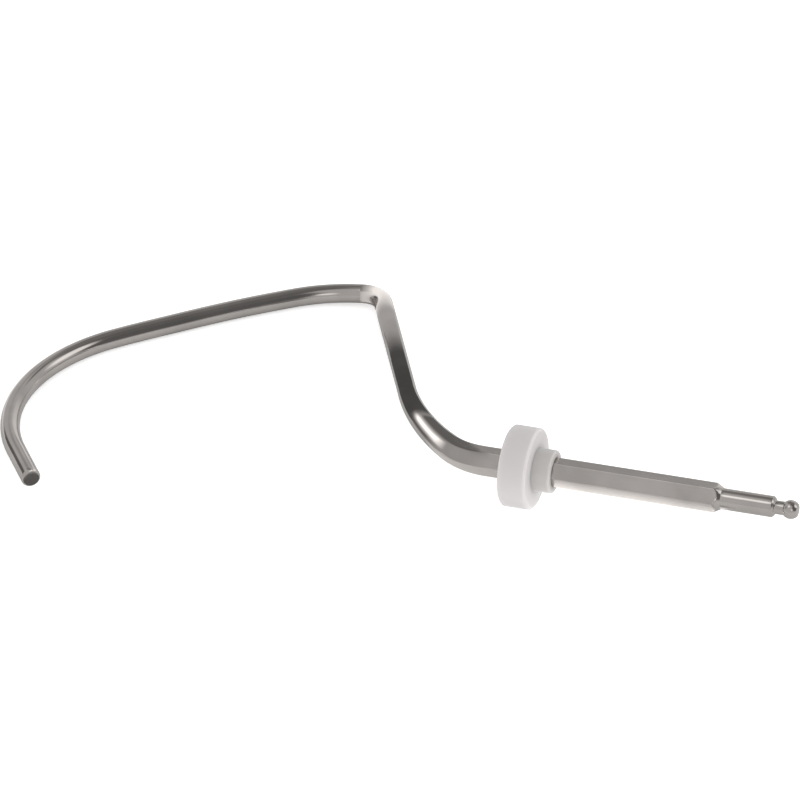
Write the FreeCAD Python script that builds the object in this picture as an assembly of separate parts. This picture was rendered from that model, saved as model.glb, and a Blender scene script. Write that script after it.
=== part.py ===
import FreeCAD, Part
import math
import os
from FreeCAD import Placement, Rotation, Vector

# Dough hook for a stand mixer, in millimetres and degrees.
# One steel bar and one moulded collar. The bar is a hexagon where the mixer grips it, with a
# round pin, a neck and a bead turned on its drive end. The other way it tapers to a round rod
# over its first bend, leads out to an elbow, sweeps back and curls in under the shank.
# The bar is bent in one plane, so it is drawn flat first. There the origin is on the shank's
# axis in the middle of the collar's flange, +X runs along the shank to the drive end and +Y
# out to the elbow. Last, the hook is laid on a table as it comes to rest, with +Z up.

# Shank, measured from the middle of the collar's flange
hex_width = 8.0
hex_angle = -7.6
drive_reach = 63.2
hex_end_cut = 1.3
hex_end_cone = 2.2
bend_reach = 12.1

# Drive end, turned on the bar
pin_diameter = 6.5
pin_length = 16.5
pin_bevel = 0.6
neck_diameter = 4.2
neck_length = 2.9
neck_fillet = 0.4
bead_diameter = 5.8
bead_beyond_centre = 2.2

# Rod and its bends, in the order in which they follow the shank. The long sweep has a straight
# run in it, the foot, on which the hook rests as steadily as a tripod, with the flange.
rod_diameter = 6.1
first_bend_radius = 22.0
first_bend_angle = 37.0
easing_radius = 80.0
easing_angle = 26.0
leg_length = 54.5
elbow_radius = 8.0
elbow_angle = 73.0
shoulder_radius = 49.5
shoulder_angle = 25.7
sweep_radius = 305.0
sweep_length = 34.5
foot_length = 14.0
sweep_end_length = 13.0
curl_radius = 53.3
curl_angle = 83.1
tip_length = 17.8
tip_chamfer = 0.5

# Collar, one moulding with a hexagonal bore
flange_diameter = 25.3
flange_thickness = 9.0
flange_bevel = 0.6
boss_diameter = 13.4
boss_length = 5.9
boss_edge_radius = 0.8
bore_clearance = 0.04
bore_lead_in = 0.8

# Sizes that follow from the ones above
corner_radius = hex_width / math.sqrt(3)
rod_radius = rod_diameter / 2
pin_radius = pin_diameter / 2
flange_radius = flange_diameter / 2
first_bend_length = first_bend_radius * math.radians(first_bend_angle)
easing_length = easing_radius * math.radians(easing_angle)
sweep_angle = math.degrees(sweep_length / sweep_radius)
sweep_end_angle = math.degrees(sweep_end_length / sweep_radius)
tolerance = 1e-6


def direction(heading):
    """Unit vector in the hook's plane, at a heading in degrees from +X towards +Y."""
    return Vector(math.cos(math.radians(heading)), math.sin(math.radians(heading)), 0)


class BarLine:
    """The bar's centreline, walked from the shank to the tip as straight runs and arcs."""

    def __init__(self, start, heading):
        self.end = start
        self.heading = heading
        self.edges = []

    def straight(self, length):
        start = self.end
        self.end = start + direction(self.heading) * length
        self.edges.append(Part.makeLine(start, self.end))

    def bend(self, radius, turn):
        """An arc that turns by so many degrees, to the left where the turn is positive."""
        side = math.copysign(1, turn)
        outward = direction(self.heading - side * 90)
        centre = self.end - outward * radius
        swing = Rotation(Vector(0, 0, 1), turn)
        half_swing = Rotation(Vector(0, 0, 1), turn / 2)
        middle = centre + half_swing.multVec(outward) * radius
        end = centre + swing.multVec(outward) * radius
        self.edges.append(Part.Arc(self.end, middle, end).toShape())
        self.end = end
        self.heading = self.heading + turn


def hexagon(place, across_flats):
    """Hexagon across the bar at a place on the shank's axis."""
    corners = []
    for corner in range(6):
        angle = math.radians(hex_angle + 60 * corner)
        corners.append(place + Vector(0, math.cos(angle), math.sin(angle)) * (across_flats / math.sqrt(3)))
    return Part.makePolygon(corners + [corners[0]])


def ring(place, heading, radius):
    """Circle across the bar at a place on its centreline."""
    return Part.Wire([Part.Circle(place, direction(heading), radius).toShape()])


def turned(outline):
    """Solid turned about the shank's axis from an outline of points and finished edges."""
    face = Part.Face(Part.Wire(Part.__sortEdges__(outline)))
    return face.revolve(Vector(0, 0, 0), Vector(1, 0, 0), 360)


def chain(points):
    """Straight edges from each point (x, radius) to the next."""
    vectors = [Vector(x, radius, 0) for x, radius in points]
    return [Part.makeLine(start, end) for start, end in zip(vectors, vectors[1:])]


def rims(shape, x):
    """Round edges of a solid turned about the shank's axis, at one place along it."""
    return [edge for edge in shape.Edges if edge.Closed and abs(edge.CenterOfMass.x - x) < tolerance]


def make_shank():
    """Hexagonal length of the bar, turned to a cone on its corners at the drive end."""
    start = Vector(-bend_reach, 0, 0)
    bar = Part.Face(hexagon(start, hex_width)).extrude(Vector(bend_reach + drive_reach, 0, 0))
    cone_start = drive_reach - 2 * hex_end_cone
    blank = turned(chain([
        (-bend_reach, 0),
        (-bend_reach, corner_radius + hex_end_cut),
        (cone_start, corner_radius + hex_end_cut),
        (drive_reach, corner_radius - hex_end_cut),
        (drive_reach, 0),
        (-bend_reach, 0),
    ]))
    return bar.common(blank)


def make_drive_end():
    """Pin, neck and bead, turned in one with the shank."""
    pin_end = drive_reach + pin_length
    neck_radius = neck_diameter / 2
    bead_radius = bead_diameter / 2
    bead_start = pin_end + neck_length
    bead_centre = bead_start + math.sqrt(bead_radius ** 2 - neck_radius ** 2)
    bead_end = bead_centre + bead_beyond_centre
    bead_face_radius = math.sqrt(bead_radius ** 2 - bead_beyond_centre ** 2)
    outline = chain([
        (bead_end, bead_face_radius),
        (bead_end, 0),
        (drive_reach - hex_end_cone, 0),
        (drive_reach - hex_end_cone, pin_radius),
        (pin_end - pin_bevel, pin_radius),
        (pin_end, pin_radius - pin_bevel),
        (pin_end, neck_radius + neck_fillet),
    ])
    fillet_middle = neck_fillet * (1 - math.sqrt(0.5))
    outline.append(Part.Arc(
        Vector(pin_end, neck_radius + neck_fillet, 0),
        Vector(pin_end + fillet_middle, neck_radius + fillet_middle, 0),
        Vector(pin_end + neck_fillet, neck_radius, 0)).toShape())
    outline += chain([(pin_end + neck_fillet, neck_radius), (bead_start, neck_radius)])
    outline.append(Part.Arc(
        Vector(bead_start, neck_radius, 0),
        Vector(bead_centre, bead_radius, 0),
        Vector(bead_end, bead_face_radius, 0)).toShape())
    return turned(outline)


def make_taper(line):
    """First bend, where the hexagon's corners run down into the round rod."""
    start, start_heading = line.end, line.heading
    line.bend(first_bend_radius, -first_bend_angle)
    middle, middle_heading = line.end, line.heading
    line.bend(easing_radius, -easing_angle)
    spine = Part.Wire(line.edges[-2:])
    share = first_bend_length / (first_bend_length + easing_length)
    middle_radius = corner_radius + (rod_radius - corner_radius) * share
    cone = Part.BRepOffsetAPI.MakePipeShell(spine)
    cone.add(ring(start, start_heading, corner_radius))
    cone.add(ring(middle, middle_heading, middle_radius))
    cone.add(ring(line.end, line.heading, rod_radius))
    cone.build()
    cone.makeSolid()
    flats = spine.makePipeShell([hexagon(start, hex_width)], True, False)
    return cone.shape().common(flats)


def make_rod(line):
    """Round rod from the taper to the tip, and the middle of the straight run it rests on."""
    bends = len(line.edges)
    start, start_heading = line.end, line.heading
    line.straight(leg_length)
    line.bend(elbow_radius, elbow_angle)
    line.bend(shoulder_radius, shoulder_angle)
    line.bend(sweep_radius, sweep_angle)
    foot = line.end + direction(line.heading) * (foot_length / 2)
    foot_heading = line.heading
    line.straight(foot_length)
    line.bend(sweep_radius, sweep_end_angle)
    line.bend(curl_radius, curl_angle)
    spine = Part.Wire(line.edges[bends:])
    rod = spine.makePipe(Part.Face(ring(start, start_heading, rod_radius)))
    tip = Part.makeCylinder(rod_radius, tip_length, line.end, direction(line.heading))
    line.straight(tip_length)
    rim = [edge for edge in tip.Edges if (edge.CenterOfMass - line.end).Length < tip_chamfer]
    tip = tip.makeChamfer(tip_chamfer, rim)
    return rod.fuse(tip), foot, foot_heading


def make_hook_rod():
    """The whole steel bar in one solid, and the place and heading of its foot on the table."""
    line = BarLine(Vector(-bend_reach, 0, 0), 180)
    taper = make_taper(line)
    rod, foot, foot_heading = make_rod(line)
    bar = make_shank().multiFuse([make_drive_end(), taper, rod]).removeSplitter()
    return bar.Solids[0], foot, foot_heading


def make_collar():
    """Bevelled flange and rounded boss, over a hexagonal bore that fits the shank."""
    back = -flange_thickness / 2
    front = flange_thickness / 2
    boss_end = front + boss_length
    along = Vector(1, 0, 0)
    flange = Part.makeCylinder(flange_radius, flange_thickness, Vector(back, 0, 0), along)
    flange = flange.makeChamfer(flange_bevel, rims(flange, back) + rims(flange, front))
    boss = Part.makeCylinder(boss_diameter / 2, boss_end - back, Vector(back, 0, 0), along)
    boss = boss.makeFillet(boss_edge_radius, rims(boss, boss_end))
    bore_width = hex_width + 2 * bore_clearance
    bore = Part.Face(hexagon(Vector(back, 0, 0), bore_width)).extrude(along * (boss_end - back))
    collar = flange.fuse(boss).cut(bore)
    mouth = bore_width / 2 + bore_lead_in
    throat = bore_width / 2 - bore_lead_in
    for end, inwards in ((back, along), (boss_end, -along)):
        collar = collar.cut(Part.makeCone(mouth, throat, 2 * bore_lead_in, Vector(end, 0, 0), inwards))
    return collar.removeSplitter().Solids[0]


def resting_place(shapes, foot, foot_heading):
    """Placement that lays the hook on its flange and on its foot, a straight run of the sweep."""
    outward = direction(foot_heading - 90)
    flange_rim = (flange_thickness / 2 - flange_bevel) * abs(outward.x)
    slope = math.degrees(math.asin((flange_radius - rod_radius) / (foot.dot(outward) - flange_rim)))
    lean = Placement(Vector(0, 0, 0), Rotation(direction(foot_heading), slope))
    shank = lean.Rotation.multVec(Vector(1, 0, 0))
    yaw = math.degrees(math.atan2(shank.y, shank.x))
    straighten = Placement(Vector(0, 0, 0), Rotation(Vector(0, 0, 1), -yaw))
    turn = straighten.multiply(lean)
    lying = Part.makeCompound([shape.transformed(turn.toMatrix(), True) for shape in shapes])
    box = lying.optimalBoundingBox(False, False)
    middle = Vector((box.XMin + box.XMax) / 2, (box.YMin + box.YMax) / 2, box.ZMin)
    return Placement(-middle, Rotation()).multiply(turn)


hook_rod, foot, foot_heading = make_hook_rod()
collar = make_collar()
nodes = {"hook_rod": hook_rod, "collar": collar}
rest = resting_place(list(nodes.values()), foot, foot_heading)

os.makedirs("parts", exist_ok=True)
for name, shape in nodes.items():
    shape.transformed(rest.toMatrix(), True).exportStep("parts/" + name + ".step")
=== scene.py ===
# %% [markdown]
# # A dough hook for a stand mixer
# A dough hook is one steel bar with a plastic collar on it. The mixer grips the six-sided shank,
# and the round rod behind it is bent to a long arm that pushes and folds the dough. The CAD model
# gives the true sizes. This lesson loads it as a fixed frame, makes both pieces again as smooth
# surfaces, finishes them as polished steel and milky plastic, and sets up a small studio.

# %% Load the hook as CAD made it
import math

import bpy
import mathutils.bvhtree
import numpy as np
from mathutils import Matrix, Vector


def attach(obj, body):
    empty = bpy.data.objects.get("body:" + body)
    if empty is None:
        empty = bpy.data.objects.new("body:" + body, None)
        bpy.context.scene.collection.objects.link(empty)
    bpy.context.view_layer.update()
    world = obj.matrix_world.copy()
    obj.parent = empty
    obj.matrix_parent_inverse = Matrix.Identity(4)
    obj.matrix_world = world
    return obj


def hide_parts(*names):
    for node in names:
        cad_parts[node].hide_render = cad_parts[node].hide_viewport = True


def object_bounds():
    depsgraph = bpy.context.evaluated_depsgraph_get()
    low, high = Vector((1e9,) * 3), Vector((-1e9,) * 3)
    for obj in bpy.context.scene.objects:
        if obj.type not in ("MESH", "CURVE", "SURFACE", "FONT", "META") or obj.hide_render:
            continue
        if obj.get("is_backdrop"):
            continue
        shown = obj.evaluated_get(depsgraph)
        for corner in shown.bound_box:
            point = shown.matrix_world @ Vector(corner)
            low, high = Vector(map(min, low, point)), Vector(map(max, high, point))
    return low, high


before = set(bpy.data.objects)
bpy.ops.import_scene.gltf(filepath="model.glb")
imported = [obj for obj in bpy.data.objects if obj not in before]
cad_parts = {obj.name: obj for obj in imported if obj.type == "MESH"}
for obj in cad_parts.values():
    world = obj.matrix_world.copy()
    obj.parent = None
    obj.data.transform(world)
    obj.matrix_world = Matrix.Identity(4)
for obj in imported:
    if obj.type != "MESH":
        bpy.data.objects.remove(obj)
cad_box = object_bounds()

mm = 0.001
cad_size = [round((high - low) / mm, 2) for low, high in zip(*cad_box)]
print("nodes:", sorted(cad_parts), "size in mm:", cad_size)

# %% [markdown]
# ## Where the shank lies
# The hook rests on its collar and on a straight run of its long arm, so its plane leans a little.
# Everything below is worked out flat, in the hook's own plane, and then laid on the table with
# three directions: along the shank, outwards to the elbow, and square to the plane.

# %% The hook's own directions on the table
flange_centre = np.array([40.28798, -18.99097, 12.85218]) * mm
along = np.array([0.9986554, 0.0, 0.0518402])
outwards = np.array([0.0029698, 0.9983578, -0.0572099])
upwards = np.cross(along, outwards)


def lay_on_table(x, y, z):
    """Places points of the hook's plane in the room: the flange's centre, plus x along the shank,
    y outwards to the elbow and z square to the plane."""
    return flange_centre + x[..., None] * along + y[..., None] * outwards + z[..., None] * upwards


print("lean of the plane in degrees:", round(math.degrees(math.acos(upwards[2])), 2))

# %% [markdown]
# ## The bar's sizes
# The drive end is turned on the bar: a bead and a neck for the mixer's catch, then a pin. Each is
# given by its radius, and by how far it reaches from the middle of the collar's flange.

# %% Sizes of the bar
drive_reach, pin_length, neck_length = 63.2 * mm, 16.5 * mm, 2.9 * mm
pin_radius, neck_radius, bead_radius = 3.25 * mm, 2.1 * mm, 2.9 * mm
bead_beyond_centre, bend_reach = 2.2 * mm, 12.1 * mm
rod_radius, half_hex = 3.05 * mm, 4.0 * mm
corner_radius = 2 * half_hex / math.sqrt(3)

pin_end = drive_reach + pin_length
bead_start = pin_end + neck_length
bead_centre = bead_start + math.sqrt(bead_radius ** 2 - neck_radius ** 2)
bead_end = bead_centre + bead_beyond_centre
print("bead's end from the flange in mm:", round(bead_end / mm, 2))

# %% [markdown]
# ## The bar's centreline
# A bender makes the hook from straight runs and arcs, so the centreline is a list of lengths and
# turns, walked from the end of the bead to the tip. An arc of length d that turns by a has a chord
# of d times sin(a/2)/(a/2), and the chord's heading lies half-way through the turn. With that one
# formula a whole array of distances becomes points at once, and a straight run is the case a = 0.
# The long sweep has one such run in it, the foot that the hook stands on.

# %% Walk the centreline
straight = None
sweep_radius = 305.0
first_sweep, foot, last_sweep = 34.5, 14.0, 13.0
runs = [(22.0, -37.0), (80.0, -26.0), (straight, 54.5), (8.0, 73.0), (49.5, 25.7),
        (sweep_radius, math.degrees(first_sweep / sweep_radius)), (straight, foot),
        (sweep_radius, math.degrees(last_sweep / sweep_radius)), (53.3, 83.1), (straight, 17.8)]
lengths = [bead_end + bend_reach]
turns = [0.0]
for run_radius, amount in runs:
    turns.append(0.0 if run_radius is straight else math.radians(amount))
    lengths.append(amount * mm if run_radius is straight else run_radius * mm * abs(turns[-1]))
lengths, turns = np.array(lengths), np.array(turns)
joints = np.concatenate([[0.0], np.cumsum(lengths)])
headings = math.pi + np.concatenate([[0.0], np.cumsum(turns)])
chords = lengths * np.sinc(turns / (2 * math.pi))
steps = np.stack([chords * np.cos(headings[:-1] + turns / 2),
                  chords * np.sin(headings[:-1] + turns / 2)], axis=1)
starts = np.array([bead_end, 0.0]) + np.concatenate([[[0.0, 0.0]], np.cumsum(steps, axis=0)])


def centreline(distance):
    """Place and heading at each distance from the bead's end: the start of its run, plus the chord
    of the part of the run walked so far, at the heading half-way through that part's turn."""
    run = np.clip(np.searchsorted(joints, distance, side="right") - 1, 0, len(lengths) - 1)
    walked = distance - joints[run]
    turned = turns[run] * walked / lengths[run]
    chord = walked * np.sinc(turned / (2 * math.pi))
    x = starts[run, 0] + chord * np.cos(headings[run] + turned / 2)
    y = starts[run, 1] + chord * np.sin(headings[run] + turned / 2)
    return x, y, headings[run] + turned


print("length of the bar in mm:", round(joints[-1] / mm, 1))

# %% [markdown]
# ## The bar's outline
# Seen from the side, the bar is an outline of distance and radius: the bead and neck that the
# mixer's catch holds, the pin, the hexagon's turned end, a taper over the first bend, and the rod.
# Real edges are never sharp, and it is the tiny round on an edge that catches the light. So each
# corner of the outline gets a small arc before the outline is cut into even steps.


# %% Round the corners of an outline
def soften(points, radii, steps=5):
    """Replaces each inner corner by an arc of its own radius that touches both sides: the arc
    starts r / tan(half the inner angle) before the corner, and its centre lies on the bisector."""
    points = np.array(points, float)
    nearly_straight = math.radians(89)
    out = [points[:1]]
    for before, corner, after, radius in zip(points, points[1:], points[2:], radii):
        back, on = before - corner, after - corner
        back, on = back / np.linalg.norm(back), on / np.linalg.norm(on)
        half = math.acos(np.clip(back @ on, -1, 1)) / 2
        if radius == 0 or half > nearly_straight:
            out.append(corner[None])
            continue
        first, last = corner + back * radius / math.tan(half), corner + on * radius / math.tan(half)
        middle = corner + (back + on) / np.linalg.norm(back + on) * radius / math.sin(half)
        share = np.linspace(0, 1, steps)[:, None]
        arc = (first - middle) * (1 - share) + (last - middle) * share
        out.append(middle + arc / np.linalg.norm(arc, axis=1)[:, None] * radius)
    out.append(points[-1:])
    return np.concatenate(out)


def divide(outline, longest):
    """Adds even steps to each side of an outline that is longer than the longest step."""
    pieces = []
    for start, end in zip(outline, outline[1:]):
        count = max(1, math.ceil(np.linalg.norm(end - start) / longest))
        pieces.append(start + (end - start) * np.arange(count)[:, None] / count)
    return np.concatenate(pieces + [outline[-1:]])


square = soften([(0, 0), (1, 0), (1, 1)], [0.2])
print("a square corner, rounded:", square.round(3).tolist())

# %% [markdown]
# The bead is part of a circle, cut off flat at its end. The corners after it come in the order in
# which a hand would meet them from the bead to the tip, each with the round that its edge has.

# %% Draw the bar's outline
hex_end = bead_end - drive_reach
neck_end = bead_end - pin_end
tip = joints[-1]
bend_start, bend_end = joints[1], joints[3]
end_cut, end_cone, pin_bevel, tip_chamfer = 1.3 * mm, 2.2 * mm, 0.6 * mm, 0.5 * mm
bead_angles = np.linspace(math.acos(bead_beyond_centre / bead_radius),
                          math.pi - math.asin(neck_radius / bead_radius), 24)
bead = np.stack([bead_beyond_centre - bead_radius * np.cos(bead_angles),
                 bead_radius * np.sin(bead_angles)], axis=1)
corners = [(0, 0), *map(tuple, bead), (neck_end, neck_radius), (neck_end, pin_radius - pin_bevel),
           (neck_end + pin_bevel, pin_radius), (hex_end, pin_radius),
           (hex_end, corner_radius - end_cut), (hex_end + end_cone, corner_radius),
           (bend_start, corner_radius), (bend_end, rod_radius), (tip - tip_chamfer, rod_radius),
           (tip, rod_radius - tip_chamfer), (tip, 0)]
rounds = [0.25, *[0] * (len(bead) - 2), 0.3, 0.4, 0.15, 0.2, 0.02, 0.02, 0.5, 0, 0, 0.2, 0.15]
longest_step = 1.2 * mm
outline = divide(soften(corners, np.array(rounds) * mm), longest_step)
print("outline of the bar:", len(outline), "rings")

# %% [markdown]
# ## The bar's surface
# The bar starts as drawn hexagon steel and is turned down where it has to be round. So its radius
# at any angle is the smaller of two: the turned outline, and the hexagon with its rounded corners.
# Over the first bend the outline shrinks evenly, and the flats fade into the rod by themselves,
# as they do on the real bar. The surface is one grid, angle by distance, closed at both ends.

# %% A hexagon with rounded corners
hex_turn = math.radians(-7.6)
corner_round = 0.3 * mm


def hexagon_radius(angle, half_width, rounding):
    """Distance from the axis to a hexagon: half its width over the cosine of the angle from the
    nearest flat's middle, and near a corner the far side of the rounding's circle."""
    from_flat = np.mod(angle - hex_turn, math.pi / 3) - math.pi / 6
    flat = half_width / np.cos(from_flat)
    reach = (half_width - rounding) / math.cos(math.pi / 6)
    from_corner = math.pi / 6 - np.abs(from_flat)
    across = np.clip(rounding ** 2 - (reach * np.sin(from_corner)) ** 2, 0, None)
    corner = reach * np.cos(from_corner) + np.sqrt(across)
    flat_ends = math.atan((half_width - rounding) * math.tan(math.pi / 6) / half_width)
    return np.where(np.abs(from_flat) > flat_ends, corner, flat)


def lesser(one, other, blend):
    """The smaller of two arrays, with the crease between them rounded over a width of blend."""
    share = np.clip(0.5 + 0.5 * (other - one) / blend, 0, 1)
    return other * (1 - share) + one * share - blend * share * (1 - share)


corner_reach = hexagon_radius(np.array([hex_turn]), half_hex, corner_round)[0]
print("rounded corner's distance from the axis in mm:", round(corner_reach / mm, 3))

# %% [markdown]
# A grid that is even all round would step over the small rounds of the hexagon's corners. So the
# angles crowd at each corner and thin out towards the middle of each flat.

# %% Angles that crowd at the hexagon's corners
half_sector = np.radians([0, 0.7, 1.4, 2.1, 3.0, 4.5, 7.0, 10.5, 15.0, 20.0, 25.0])
sector = np.concatenate([half_sector, [math.pi / 6], math.pi / 3 - half_sector[:0:-1]])
angles = (hex_turn + np.arange(6)[:, None] * math.pi / 3 + sector).ravel()
print("angles round the bar:", len(angles))

# %% [markdown]
# Both pieces are rings of points, so one helper joins rings into faces. It also gives each point
# the values that the finishes need, and turns the faces outwards where they point inwards.


# %% Turn a grid of points into a mesh
def grid_mesh(name, points, attributes, ring_shaped=False):
    """Makes a mesh from rings of points, each ring closed on itself. A plain tube ends in a pole
    at each end, the middle of its first and last ring; a ring-shaped one joins its last ring to
    its first. The sign of the volume, a sum of triple products, says whether it is inside out."""
    rings, count = points.shape[:2]
    index = np.arange(rings * count).reshape(rings, count)
    below = index if ring_shaped else index[:-1]
    above = np.roll(index, -1, axis=0) if ring_shaped else index[1:]
    quads = np.stack([below, np.roll(below, -1, axis=1), np.roll(above, -1, axis=1), above], axis=-1)
    quads = quads.reshape(-1, 4)
    vertices = points.reshape(-1, 3)
    triangles = np.zeros((0, 3), int)
    if not ring_shaped:
        poles = np.stack([points[0].mean(axis=0), points[-1].mean(axis=0)])
        vertices = np.concatenate([vertices, poles])
        first, last = index[0], index[-1]
        start = np.stack([np.roll(first, -1), first, np.full(count, len(vertices) - 2)], axis=1)
        end = np.stack([last, np.roll(last, -1), np.full(count, len(vertices) - 1)], axis=1)
        triangles = np.concatenate([start, end])
    halves = np.concatenate([quads[:, [0, 1, 2]], quads[:, [0, 2, 3]], triangles])
    a, b, c = (vertices[halves[:, k]] for k in range(3))
    volume = np.einsum("ij,ij->i", a, np.cross(b, c)).sum() / 6
    if volume < 0:
        quads, triangles = quads[:, ::-1], triangles[:, ::-1]
    mesh = bpy.data.meshes.new(name)
    mesh.from_pydata(vertices.tolist(), [], quads.tolist() + triangles.tolist())
    for label, values in attributes.items():
        vector = values.ndim == 3
        flat = values.reshape(rings * count, -1)
        if not ring_shaped:
            ends = np.stack([values[0].mean(axis=0), values[-1].mean(axis=0)]).reshape(2, -1)
            flat = np.concatenate([flat, ends])
        layer = mesh.attributes.new(label, "FLOAT_VECTOR" if vector else "FLOAT", "POINT")
        layer.data.foreach_set("vector" if vector else "value", flat.astype(np.float32).ravel())
    mesh.shade_smooth()
    piece = bpy.data.objects.new(name, mesh)
    bpy.context.scene.collection.objects.link(piece)
    print(name, "triangles:", len(halves), "volume in cubic mm:", round(abs(volume) / mm ** 3, 1))
    return piece


# %% [markdown]
# The finish follows the bar, not the room, so each point also remembers where it lay before the
# bar was bent: its distance along the bar and its place across it. Streaks along the steel can
# then be drawn straight and still follow every bend. A second value says where a flat shows.

# %% Carry the section along the centreline
crease_round, flat_border, smallest_radius = 0.06 * mm, 0.15 * mm, 0.02 * mm
distance, turned_radius = outline[:, 0], outline[:, 1]
on_drive_end = distance[:, None] < hex_end
hexagon = hexagon_radius(angles, half_hex, corner_round)[None, :]
radius = lesser(turned_radius[:, None], hexagon, crease_round)
radius = np.where(on_drive_end, turned_radius[:, None], radius)
radius = np.maximum(radius, smallest_radius)
x, y, heading = centreline(np.clip(distance, 0, tip))
beside = radius * np.cos(angles)
above = radius * np.sin(angles)
bar_points = lay_on_table(x[:, None] + beside * np.sin(heading)[:, None],
                          y[:, None] - beside * np.cos(heading)[:, None], above)
unbent = np.stack([np.broadcast_to(distance[:, None], radius.shape), beside, above], axis=-1)
on_flat = np.clip((turned_radius[:, None] - hexagon) / flat_border, 0, 1)
on_flat = np.where(on_drive_end, 0, on_flat)
bar = grid_mesh("steel_bar", bar_points, {"unbent": unbent, "flat": on_flat})

# %% [markdown]
# A new surface is only worth having if it lies where the CAD says. So a seventh of the CAD's
# points look for the nearest place on the new bar, and the gaps are printed.

# %% Compare it with the CAD
cad_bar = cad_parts["hook_rod"].data
cad_points = np.empty(len(cad_bar.vertices) * 3, np.float32)
cad_bar.vertices.foreach_get("co", cad_points)
cad_points = cad_points.reshape(-1, 3)
surface = mathutils.bvhtree.BVHTree.FromObject(bar, bpy.context.evaluated_depsgraph_get())
gaps = np.array([surface.find_nearest(point)[3] for point in cad_points[::7].tolist()])
print("CAD to new bar in mm: most", round(gaps.max() / mm, 3), "mean", round(gaps.mean() / mm, 4))

# %% [markdown]
# ## The collar
# The collar is one moulding: a thick flange that keeps dough out of the mixer's drive, and a boss
# on the drive's side of it. A turned part is an outline carried round an axis. Here the outline is
# a closed loop, up over the flange and the boss and back through the bore, and only the bore isn't
# round: there the radius is the larger of the hexagon's and that of the lead-in cone at each mouth.

# %% Draw the collar's outline and bore
flange_radius, half_flange, boss_radius, boss_length = 12.65 * mm, 4.5 * mm, 6.7 * mm, 5.9 * mm
half_bore, lead_in, bevel = half_hex + 0.04 * mm, 0.8 * mm, 0.6 * mm
boss_end = half_flange + boss_length
mouth = half_bore + lead_in
profile = [(-half_flange, mouth), (-half_flange, flange_radius - bevel),
           (-half_flange + bevel, flange_radius), (half_flange - bevel, flange_radius),
           (half_flange, flange_radius - bevel), (half_flange, boss_radius),
           (boss_end, boss_radius), (boss_end, mouth)]
profile_rounds = np.array([0.3, 0.3, 0.3, 0.3, 0.25, 0.8]) * mm
collar_step = 1.0 * mm
outside = divide(soften(profile, profile_rounds, 7), collar_step)
from_mouth = np.concatenate([np.linspace(0, 2 * lead_in, 13)[1:], [3 * lead_in]])
bore_x = np.concatenate([boss_end - from_mouth, (-half_flange + from_mouth)[::-1]])
nearest_mouth = np.minimum(boss_end - bore_x, bore_x + half_flange)
bore_hexagon = hexagon_radius(angles, half_bore, corner_round)
bore = np.maximum(bore_hexagon[None, :], (mouth - nearest_mouth)[:, None])
print("collar: rings outside", len(outside), "rings in the bore", len(bore))

# %% [markdown]
# Where the plastic is thin, on the boss, the steel under it shows through, and the boss's colour is
# greyed for it by painted shade. So each point also gets a value for the wall: 0 on the boss, and 1
# once the flange rises clear of it.

# %% Turn the collar
wall_ramp = 2.2 * mm
collar_x = np.concatenate([outside[:, 0], bore_x])
collar_radius = np.concatenate([np.repeat(outside[:, 1:], len(angles), axis=1), bore])
beside = collar_radius * np.cos(angles)
above = collar_radius * np.sin(angles)
collar_x = np.broadcast_to(collar_x[:, None], beside.shape)
collar_points = lay_on_table(collar_x, beside, above)
turned_place = np.stack([collar_x, beside, above], axis=-1)
# Mask of the painted shade: 0 on the thin boss, whose colour is greyed, and 1 on the flange.
wall_shade = np.clip((collar_radius - boss_radius) / wall_ramp, 0, 1)
collar = grid_mesh("milky_collar", collar_points, {"unbent": turned_place, "wall_shade": wall_shade},
                   ring_shaped=True)

# %% [markdown]
# ## Marks of use
# Both finishes carry fine marks, and only their size and direction differ. So one node group makes
# them: streaks that run along the piece, and soft smudges. Each is a mask that changes over the
# surface, and each material decides what it does.


# %% Build the group of marks
def link_all(tree, links):
    """Joins output sockets to input sockets, pair by pair."""
    for source, target in links:
        tree.links.new(source, target)


def make_marks():
    """A group of streaks and smudges. Streaks are a noise whose scale along the piece is small,
    so each spot of it is drawn out; smudges are a soft noise with the same scale all round."""
    group = bpy.data.node_groups.new("fine_marks", "ShaderNodeTree")
    face = group.interface
    face.new_socket(name="Place", in_out="INPUT", socket_type="NodeSocketVector")
    for name, value in (("Streak scale", 4000.0), ("Streak stretch", 0.02), ("Smudge scale", 60.0)):
        socket = face.new_socket(name=name, in_out="INPUT", socket_type="NodeSocketFloat")
        socket.default_value = value
    for name in ("Streaks", "Smudges"):
        face.new_socket(name=name, in_out="OUTPUT", socket_type="NodeSocketFloat")
    nodes = group.nodes
    inside, outside_node = nodes.new("NodeGroupInput"), nodes.new("NodeGroupOutput")
    stretch = nodes.new("ShaderNodeCombineXYZ")
    stretch.inputs["Y"].default_value = stretch.inputs["Z"].default_value = 1.0
    drawn = nodes.new("ShaderNodeVectorMath")
    drawn.operation = "MULTIPLY"
    streak = nodes.new("ShaderNodeTexNoise")
    streak.inputs["Detail"].default_value = 4.0
    smudge = nodes.new("ShaderNodeTexNoise")
    smudge.inputs["Detail"].default_value = 3.0
    link_all(group, [
        (inside.outputs["Streak stretch"], stretch.inputs["X"]),
        (inside.outputs["Place"], drawn.inputs[0]), (stretch.outputs["Vector"], drawn.inputs[1]),
        (drawn.outputs["Vector"], streak.inputs["Vector"]),
        (inside.outputs["Streak scale"], streak.inputs["Scale"]),
        (inside.outputs["Place"], smudge.inputs["Vector"]),
        (inside.outputs["Smudge scale"], smudge.inputs["Scale"]),
        (streak.outputs["Fac"], outside_node.inputs["Streaks"]),
        (smudge.outputs["Fac"], outside_node.inputs["Smudges"]),
    ])
    return group


marks = make_marks()
print("group:", marks.name, [item.name for item in marks.interface.items_tree])

# %% [markdown]
# A material is a small tree of nodes, and the same few moves come back in each: start from a
# Principled BSDF, take a mask to a range of values, put in the group of marks, and bump the
# surface. Helpers keep them short.


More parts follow.
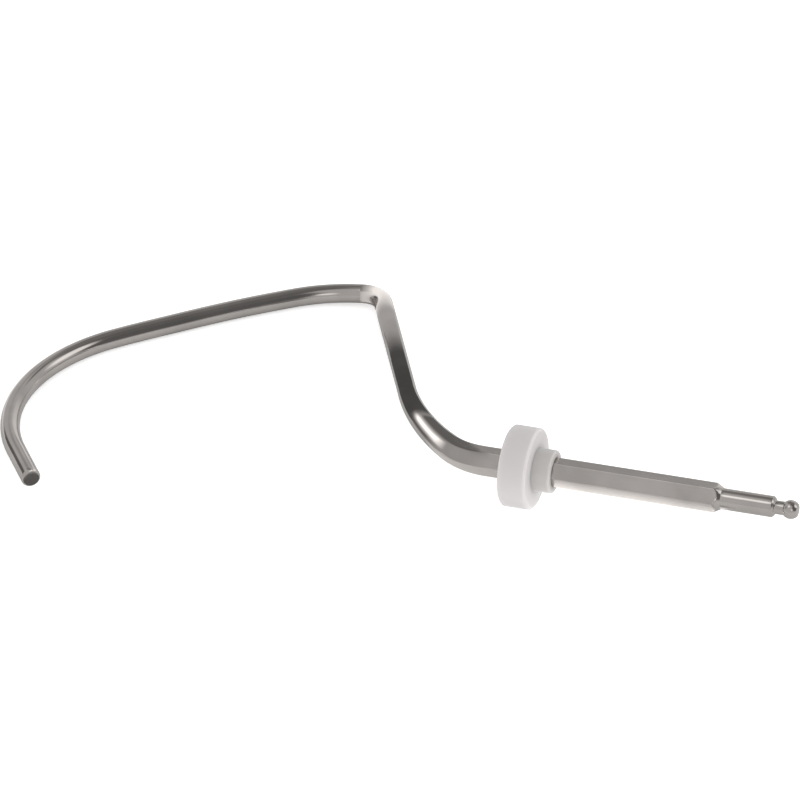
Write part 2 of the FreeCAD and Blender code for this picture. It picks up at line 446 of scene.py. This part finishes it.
# %% Helpers for the materials
def new_material(name):
    """A material with a Principled BSDF, its node tree and that shader."""
    material = bpy.data.materials.new(name)
    material.use_nodes = True
    return material, material.node_tree, material.node_tree.nodes["Principled BSDF"]


def remap(tree, source, low, high, source_low=0.0, source_high=1.0):
    """A Map Range node that takes a value, between 0 and 1 if not told, to a range of its own."""
    node = tree.nodes.new("ShaderNodeMapRange")
    node.inputs["From Min"].default_value = source_low
    node.inputs["From Max"].default_value = source_high
    node.inputs["To Min"].default_value = low
    node.inputs["To Max"].default_value = high
    tree.links.new(source, node.inputs["Value"])
    return node.outputs["Result"]


def read_value(tree, name):
    """The value or place that a mesh keeps under a name."""
    node = tree.nodes.new("ShaderNodeAttribute")
    node.attribute_name = name
    return node


def mix_colours(tree, first, second):
    """A Mix node between two colours."""
    node = tree.nodes.new("ShaderNodeMix")
    node.data_type = "RGBA"
    node.inputs["A"].default_value = (*first, 1)
    node.inputs["B"].default_value = (*second, 1)
    return node


def place_marks(tree, scale, stretch, smudge):
    """Puts the group of marks into a material, on the place that each point keeps."""
    node = tree.nodes.new("ShaderNodeGroup")
    node.node_tree = marks
    node.inputs["Streak scale"].default_value = scale
    node.inputs["Streak stretch"].default_value = stretch
    node.inputs["Smudge scale"].default_value = smudge
    tree.links.new(read_value(tree, "unbent").outputs["Vector"], node.inputs["Place"])
    return node


def add_bump(tree, shader, height, strength, distance):
    """A Bump node between a height and the shader's normal."""
    bump = tree.nodes.new("ShaderNodeBump")
    bump.inputs["Strength"].default_value = strength
    bump.inputs["Distance"].default_value = distance
    tree.links.new(height, bump.inputs["Height"])
    tree.links.new(bump.outputs["Normal"], shader.inputs["Normal"])


kept_values = [name for name in ("unbent", "flat", "wall_shade") if name in bar.data.attributes]
print("values kept by the bar:", kept_values)

# %% [markdown]
# ## Polished steel
# The rod is polished stainless steel, a metal with a warm grey colour and a low roughness. The
# flats of the hexagon keep the skin that they were drawn with, which is more satin. The roughness
# is therefore mixed by the mask of the flats, and streaks along the bar vary it a little, as
# polishing belts do. Soft smudges, such as hands leave, shift both the roughness and the colour.

# %% Make the steel
steel, tree, shader = new_material("polished_steel")
shader.inputs["Metallic"].default_value = 1.0
steel_marks = place_marks(tree, 1900.0, 0.012, 70.0)
flat_mask = read_value(tree, "flat")
base_rough = remap(tree, flat_mask.outputs["Fac"], 0.10, 0.20)
streak_rough = remap(tree, steel_marks.outputs["Streaks"], -0.035, 0.045)
smudge_rough = remap(tree, steel_marks.outputs["Smudges"], -0.02, 0.03)
with_streaks = tree.nodes.new("ShaderNodeMath")
with_smudges = tree.nodes.new("ShaderNodeMath")
tint = mix_colours(tree, (0.602, 0.565, 0.537), (0.7, 0.655, 0.623))
patchy = remap(tree, steel_marks.outputs["Smudges"], 0.0, 1.0, 0.35, 0.65)
link_all(tree, [(base_rough, with_streaks.inputs[0]), (streak_rough, with_streaks.inputs[1]),
                (with_streaks.outputs["Value"], with_smudges.inputs[0]),
                (smudge_rough, with_smudges.inputs[1]),
                (with_smudges.outputs["Value"], shader.inputs["Roughness"]),
                (patchy, tint.inputs["Factor"]),
                (tint.outputs["Result"], shader.inputs["Base Color"])])
add_bump(tree, shader, steel_marks.outputs["Streaks"], 0.45, 0.00003)
bar.data.materials.append(steel)
print(steel.name, "nodes:", len(tree.nodes))

# %% [markdown]
# ## Milky plastic
# The collar is a milky nylon: light goes a few millimetres in, spreads, and comes out again. So it
# gets subsurface scattering. Where its wall is thin, on the boss, the steel under it shows through,
# and this is painted into the colour as shade, greyer where the wall is thin. A faint grain of the
# mould keeps it from looking like wax.

# %% Make the plastic
plastic, tree, shader = new_material("milky_plastic")
shader.inputs["Subsurface Weight"].default_value = 0.85
shader.inputs["Subsurface Radius"].default_value = (1.0, 0.95, 0.9)
shader.inputs["Subsurface Scale"].default_value = 3 * mm
plastic_marks = place_marks(tree, 900.0, 1.0, 70.0)
# The darker colour is painted shade on the boss, standing in for the steel seen through its thin wall.
milk_and_boss_shade = mix_colours(tree, (0.51, 0.495, 0.485), (0.61, 0.585, 0.585))
wall_shade_mask = read_value(tree, "wall_shade")
boss_shade_and_cloud = tree.nodes.new("ShaderNodeMath")
boss_shade_and_cloud.operation = "MULTIPLY"
boss_shade_and_cloud.use_clamp = True
plastic_rough = remap(tree, plastic_marks.outputs["Smudges"], 0.36, 0.5)
cloud = remap(tree, plastic_marks.outputs["Smudges"], 0.9, 1.1)
link_all(tree, [(wall_shade_mask.outputs["Fac"], boss_shade_and_cloud.inputs[0]), (cloud, boss_shade_and_cloud.inputs[1]),
                (boss_shade_and_cloud.outputs["Value"], milk_and_boss_shade.inputs["Factor"]),
                (milk_and_boss_shade.outputs["Result"], shader.inputs["Base Color"]),
                (plastic_rough, shader.inputs["Roughness"])])
add_bump(tree, shader, plastic_marks.outputs["Streaks"], 0.2, 0.00003)
collar.data.materials.append(plastic)
print(plastic.name, "nodes:", len(tree.nodes))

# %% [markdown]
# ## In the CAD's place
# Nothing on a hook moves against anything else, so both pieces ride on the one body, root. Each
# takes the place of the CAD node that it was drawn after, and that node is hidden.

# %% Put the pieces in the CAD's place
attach(bar, "root")
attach(collar, "root")
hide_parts("hook_rod")
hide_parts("collar")
print("pieces in place:", bar.name, "and", collar.name)

# %% [markdown]
# ## The table and the light
# Polished steel has almost no look of its own: it shows the room. A photographer lights it with
# large pale surfaces and puts dark cards between them, so that each bend carries a bright and a
# dark band. Here the sky does that. The floor and all soft things see an even pale sky, and only
# what is mirrored sees the sky with its panels and cards. In the same way the floor glows a little
# and is white to the eye, but a softer grey to what mirrors it.

# %% Lay the floor
half_floor = 2.0
floor_mesh = bpy.data.meshes.new("pale_floor")
floor_mesh.from_pydata([(-half_floor, -half_floor, 0), (half_floor, -half_floor, 0),
                        (half_floor, half_floor, 0), (-half_floor, half_floor, 0)],
                       [], [(0, 1, 2, 3)])
floor = bpy.data.objects.new("pale_floor", floor_mesh)
bpy.context.scene.collection.objects.link(floor)
floor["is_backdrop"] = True
floor_material, tree, shader = new_material("pale_floor")
shader.inputs["Roughness"].default_value = 1.0
shader.inputs["Specular IOR Level"].default_value = 0.0
shader.inputs["Emission Color"].default_value = (1, 1, 1, 1)
light_path = tree.nodes.new("ShaderNodeLightPath")
paint = mix_colours(tree, (0.9, 0.9, 0.9), (0.6, 0.6, 0.6))
glow = remap(tree, light_path.outputs["Is Glossy Ray"], 0.5, 0.0)
link_all(tree, [(light_path.outputs["Is Glossy Ray"], paint.inputs["Factor"]),
                (paint.outputs["Result"], shader.inputs["Base Color"]),
                (glow, shader.inputs["Emission Strength"])])
floor.data.materials.append(floor_material)
print("floor in metres:", 2 * half_floor)

# %% [markdown]
# ## Cards close to the steel
# Close up, a photographer works with small cards: a dark one gives a bright bend its contrast, and
# a white one draws a streak. Here they glow, or stay dark, only for what mirrors them, and neither
# the camera nor the soft light sees them. One is a sleeve bent along the leg and the elbow, open to
# the table. The others are flat: three lie just over the floor, and one hangs over the tip. A
# card's brightness is kept on its points, so one material serves them all.

# %% Set up the cards
card_material, tree, shader = new_material("card")
shader.inputs["Base Color"].default_value = (0, 0, 0, 1)
shader.inputs["Roughness"].default_value = 1.0
shader.inputs["Specular IOR Level"].default_value = 0.0
shader.inputs["Emission Color"].default_value = (1, 1, 1, 1)
tree.links.new(read_value(tree, "level").outputs["Fac"], shader.inputs["Emission Strength"])


def add_card(name, points, levels):
    """A sheet on a grid of points that only mirrored rays see, as bright as its levels say."""
    rows, columns = levels.shape
    index = np.arange(rows * columns).reshape(rows, columns)
    quads = np.stack([index[:-1, :-1], index[:-1, 1:], index[1:, 1:], index[1:, :-1]], axis=-1)
    mesh = bpy.data.meshes.new(name)
    mesh.from_pydata(points.reshape(-1, 3).tolist(), [], quads.reshape(-1, 4).tolist())
    layer = mesh.attributes.new("level", "FLOAT", "POINT")
    layer.data.foreach_set("value", levels.astype(np.float32).ravel())
    mesh.materials.append(card_material)
    card = bpy.data.objects.new(name, mesh)
    bpy.context.scene.collection.objects.link(card)
    card.visible_camera = card.visible_diffuse = card.visible_shadow = False
    card.visible_transmission = card.visible_volume_scatter = False
    card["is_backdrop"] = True
    print(name, "levels from", round(levels.min(), 3), "to", round(levels.max(), 3))


def laid_over(below, above, share):
    """One level laid over another, by a share from 0 to 1."""
    return below * (1 - share) + above * share


# %% [markdown]
# The sleeve follows the bar from the first bend to just past the elbow. A point of it has a
# distance from the bead's end and a swing, the angle round the bar from the side that faces the
# camera: minus to the left, plus to the right. Tables of distance and value say how far the sleeve
# reaches round the bar at each place. It is tighter and nearly closed in the elbow's hollow.

# %% Bend the sleeve along the leg
from_bead = np.linspace(98, 215, 60)
towards_camera = np.array([0.263, -0.768, 0.584])


def along_sleeve(*table):
    """A value at each ring of the sleeve, straight between pairs of distance in mm and value."""
    places, values = zip(*table)
    return np.interp(from_bead, places, values)[:, None]


sleeve_radius = along_sleeve((188, 8.0), (199, 5.0))[..., None] * mm
left_edge = along_sleeve((98, -58), (114, -58), (120, -76), (140, -76), (150, -84), (172, -84),
                         (190, -66), (200, -155), (212, -155), (215, -110))
right_edge = along_sleeve((98, 75), (104, 95), (140, 95), (150, 84), (198, 84), (205, 118),
                          (212, 118), (215, 100))
swing = left_edge + (right_edge - left_edge) * np.linspace(0, 1, 41)[None, :]
x, y, heading = centreline(from_bead * mm)
axis = np.cos(heading)[:, None] * along + np.sin(heading)[:, None] * outwards
front = towards_camera - (axis @ towards_camera)[:, None] * axis
front = front / np.linalg.norm(front, axis=1)[:, None]
side = np.cross(axis, front)
sleeve = (lay_on_table(x, y, np.zeros_like(x))[:, None] + sleeve_radius
          * (np.cos(np.radians(swing))[..., None] * front[:, None]
             + np.sin(np.radians(swing))[..., None] * side[:, None]))
print("sleeve:", sleeve.shape[0], "rings of", sleeve.shape[1], "points")

# %% [markdown]
# The leg is dark, the elbow white, and the arm past it is left as the sky around has it. On the
# first bend a white streak runs between a dark band on its right and a thin dark line on its left.
# A bell curve over the swing makes the streak and the line, and each is laid over what is below.

# %% Paint the sleeve
leg_start = 134
line_end = 140
line_level, streak_level = 0.1, 2.0
arm_dark, arm_pale, arm_edge = 0.22, 0.6, 20


def bell(centre, width):
    """A soft stripe along the sleeve: exp of minus the square of the distance from its centre in
    widths, both in degrees of swing."""
    return np.exp(-((swing - centre) / width) ** 2)


middle_level = along_sleeve((98, 0.5), (104, 0.42), (135, 0.42), (139, 0.085), (178, 0.085),
                            (184, 0.25), (189, 0.42), (200, 0.52), (206, 1.15), (211, 1.5))
upper_level = along_sleeve((98, 0.45), (103, 0.17), (134, 0.14))
upper_level = np.where(from_bead[:, None] < leg_start, upper_level, middle_level)
upper_share = np.clip((swing - 12) / 16, 0, 1)
line_share = bell(-56, 14) * along_sleeve((118, 0), (126, 0.9), (138, 1))
line_share = np.where(from_bead[:, None] < line_end, line_share, 0)
streak_share = bell(-14, 16) * along_sleeve((114, 0), (120, 1), (134, 1), (138, 0))
arm_level = np.where(swing > arm_edge, arm_dark, arm_pale)
arm_share = along_sleeve((210.5, 0), (214.5, 1))
sleeve_levels = laid_over(middle_level, upper_level, upper_share)
sleeve_levels = laid_over(sleeve_levels, line_level, line_share)
sleeve_levels = laid_over(sleeve_levels, streak_level, streak_share)
sleeve_levels = laid_over(sleeve_levels, arm_level, arm_share)
add_card("sleeve", sleeve, sleeve_levels)

# %% [markdown]
# The hexagon's lowest visible flat looks down at the table, and it pales towards its lower edge.
# A strip under the shank that goes from grey to white gives it that. A card outside the curl
# lightens the curl's outer side. The tip's end face looks at the table before it and is dark, so a
# dark card lies there, and a small pale one over the tip gives its chamfer a bright crescent.


# %% Lay cards on the floor
def add_floor_card(name, low, high, fade, floor_level, paint):
    """A level sheet just over the floor, between two corners in mm. Its levels are what paint
    gives for x and y, and near its edges they fade into the level of the floor round it."""
    height = 0.4
    sheet_x, sheet_y = np.meshgrid(np.linspace(low[0], high[0], 65), np.linspace(low[1], high[1], 33))
    window = (np.clip((sheet_x - low[0]) / fade, 0, 1) * np.clip((high[0] - sheet_x) / fade, 0, 1)
              * np.clip((sheet_y - low[1]) / fade, 0, 1) * np.clip((high[1] - sheet_y) / fade, 0, 1))
    points = np.stack([sheet_x, sheet_y, np.full(sheet_x.shape, height)], axis=-1) * mm
    add_card(name, points, laid_over(floor_level, paint(sheet_x, sheet_y), window))


def strip_level(x, y):
    """Grey to white across the strip under the shank's free end, and even grey nearer the bend."""
    shank_start = 32
    under_shank = np.interp(y, [-28.0, -23.2, -18], [0.32, 1.9, 1.0])
    under_bend = np.interp(y, [-34, -18], [0.6, 0.72])
    return np.where(x > shank_start, under_shank, under_bend)


x, y, heading = centreline(np.array([tip]))
tip_end = lay_on_table(x, y, np.zeros(1))[0] / mm
add_floor_card("strip", (-24, -40), (104, -8), 4.0, 0.5, strip_level)
add_floor_card("curl_card", (-232, -25), (-128, 60), 12.0, 0.6, lambda x, y: 0.85)
add_floor_card("tip_card", (tip_end[0] - 1, tip_end[1] - 15), (tip_end[0] + 19, tip_end[1] + 3),
               3.0, 0.5, lambda x, y: 0.13)

# %% [markdown]
# The card over the tip is square to the direction in which the upper left of the chamfer mirrors
# the room, so it stands at a slant, some way out along that direction.

# %% Hang a card over the tip
mirrored_way = np.array([0.563, -0.301, 0.768])
sideways = np.array([0.472, 0.882, 0.0])
rising = np.cross(mirrored_way, sideways)
card_distance, half_card, crescent_level = 15, 4.5, 1.05
across, over = np.meshgrid(np.linspace(-half_card, half_card, 5), np.linspace(-half_card, half_card, 5))
crescent = (tip_end + card_distance * mirrored_way + across[..., None] * sideways
            + over[..., None] * rising) * mm
add_card("crescent_card", crescent, np.full(across.shape, crescent_level))

# %% [markdown]
# ## The mirrored sky
# A panel of the mirrored sky is a round patch with a soft edge. The angle between its middle and
# the direction looked at comes from their dot product, and a smooth step fades it out. Patches
# that are brighter than the plain sky are lamps, and darker ones are cards far off. Each is laid
# over the ones before it.


# %% Helpers for the sky
def aim(azimuth, elevation):
    """The direction at an azimuth, counted from -Y towards +X, and an elevation, in degrees."""
    a, e = math.radians(azimuth), math.radians(elevation)
    return (math.cos(e) * math.sin(a), -math.cos(e) * math.cos(a), math.sin(e))


def add_patch(tree, direction, below, azimuth, elevation, inner, outer, level):
    """Mixes a round patch over the sky so far: its level inside the inner angle, nothing outside
    the outer one, and a smooth step between their cosines."""
    dot = tree.nodes.new("ShaderNodeVectorMath")
    dot.operation = "DOT_PRODUCT"
    dot.inputs[1].default_value = aim(azimuth, elevation)
    step = tree.nodes.new("ShaderNodeMapRange")
    step.interpolation_type = "SMOOTHSTEP"
    step.inputs["From Min"].default_value = math.cos(math.radians(outer))
    step.inputs["From Max"].default_value = math.cos(math.radians(inner))
    mix = tree.nodes.new("ShaderNodeMix")
    mix.data_type = "FLOAT"
    mix.inputs["B"].default_value = level
    link_all(tree, [(direction, dot.inputs[0]), (dot.outputs["Value"], step.inputs["Value"]),
                    (step.outputs["Result"], mix.inputs["Factor"]), (below, mix.inputs["A"])])
    return mix.outputs["Result"]


print("azimuth 90, elevation 30 looks along", [round(part, 3) for part in aim(90, 30)])

# %% [markdown]
# Three kinds of rays see three skies. What looks straight at it sees a white one. Soft light comes
# from one that is a little paler on the drive end's side, so the collar's front face is lighter
# than its rim. Only mirrored rays see the patches.

# %% Paint the sky
world = bpy.data.worlds.new("studio")
world.use_nodes = True
bpy.context.scene.world = world
tree = world.node_tree
background = tree.nodes["Background"]
background.inputs["Color"].default_value = (1, 1, 1, 1)
direction = tree.nodes.new("ShaderNodeTexCoord").outputs["Generated"]
plain_sky = tree.nodes.new("ShaderNodeValue")
plain_sky.outputs[0].default_value = 0.5
sky = plain_sky.outputs[0]
# Azimuth, elevation, inner angle, outer angle, level
patches = [(180, 5, 5, 26, 0.78),
           (168, 43, 4, 11, 0.2),
           (-165, 13, 4, 10, 0.33),
           (68, 36, 20, 36, 0.12),
           (150, 72, 16, 28, 0.16),
           (92, 66, 8, 20, 0.14),
           (176, 56, 9, 18, 0.2),
           (-146, 48, 12, 24, 0.2),
           (112, 38, 8, 22, 1.1),
           (26, 30, 4, 10, 1.1),
           (-45, 62, 5, 14, 1.2),
           (-108, 8, 8, 18, 0.13),
           (-68, 28, 8, 18, 0.32)]
for patch in patches:
    sky = add_patch(tree, direction, sky, *patch)
light_path = tree.nodes.new("ShaderNodeLightPath")
compass = tree.nodes.new("ShaderNodeSeparateXYZ")
tree.links.new(direction, compass.inputs["Vector"])
soft_light = remap(tree, compass.outputs["X"], 0.55, 1.35, -1.0, 1.0)
seen = tree.nodes.new("ShaderNodeMix")
mirrored = tree.nodes.new("ShaderNodeMix")
seen.data_type = mirrored.data_type = "FLOAT"
seen.inputs["A"].default_value = 1.0
link_all(tree, [(light_path.outputs["Is Diffuse Ray"], seen.inputs["Factor"]),
                (soft_light, seen.inputs["B"]), (seen.outputs["Result"], mirrored.inputs["A"]),
                (light_path.outputs["Is Glossy Ray"], mirrored.inputs["Factor"]),
                (sky, mirrored.inputs["B"]), (mirrored.outputs["Result"], background.inputs["Strength"])])
print("patches of the mirrored sky:", len(patches))

# %% [markdown]
# ## The camera
# The photograph looks down on the hook at about 36 degrees, a little from the right of its front,
# through a long lens, since the arm is as wide at its far end as near the elbow. The camera is
# placed by the flange: its centre has to fall on its own pixel of the square picture.

# %% Set up the camera
azimuth, elevation = 18.9, 35.75
view_distance = 1.6
pixels_per_metre = 3275.0
picture_width = 800
picture_middle = picture_width / 2
flange_pixel = (523.06, 467.09)
sensor_width = 36.0

view_direction = np.array(aim(azimuth, elevation))
right = np.array([math.cos(math.radians(azimuth)), math.sin(math.radians(azimuth)), 0.0])
up = np.cross(view_direction, right)
target = (flange_centre - right * (flange_pixel[0] - picture_middle) / pixels_per_metre
          - up * (picture_middle - flange_pixel[1]) / pixels_per_metre)
camera_data = bpy.data.cameras.new("camera")
camera_data.sensor_width = sensor_width
camera_data.lens = sensor_width * pixels_per_metre * view_distance / picture_width
camera = bpy.data.objects.new("camera", camera_data)
bpy.context.scene.collection.objects.link(camera)
placing = np.eye(4)
placing[:3, 0], placing[:3, 1], placing[:3, 2] = right, up, view_direction
placing[:3, 3] = target + view_direction * view_distance
camera.matrix_world = mathutils.Matrix(placing.tolist())
bpy.context.scene.camera = camera
bpy.context.scene.view_settings.view_transform = "Standard"
print("lens in mm:", round(camera_data.lens, 1))

# %% [markdown]
# ## Both boxes
# The CAD's box and that of the new pieces are both printed, so that they can be compared after
# each run. The new pieces must be as large as the CAD's and no larger.

# %% Print both boxes
sizes = {"cad": cad_box, "visual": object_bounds()}
sizes = {name: [[float(value) for value in corner] for corner in box] for name, box in sizes.items()}
print("CAD and visual box:", sizes)
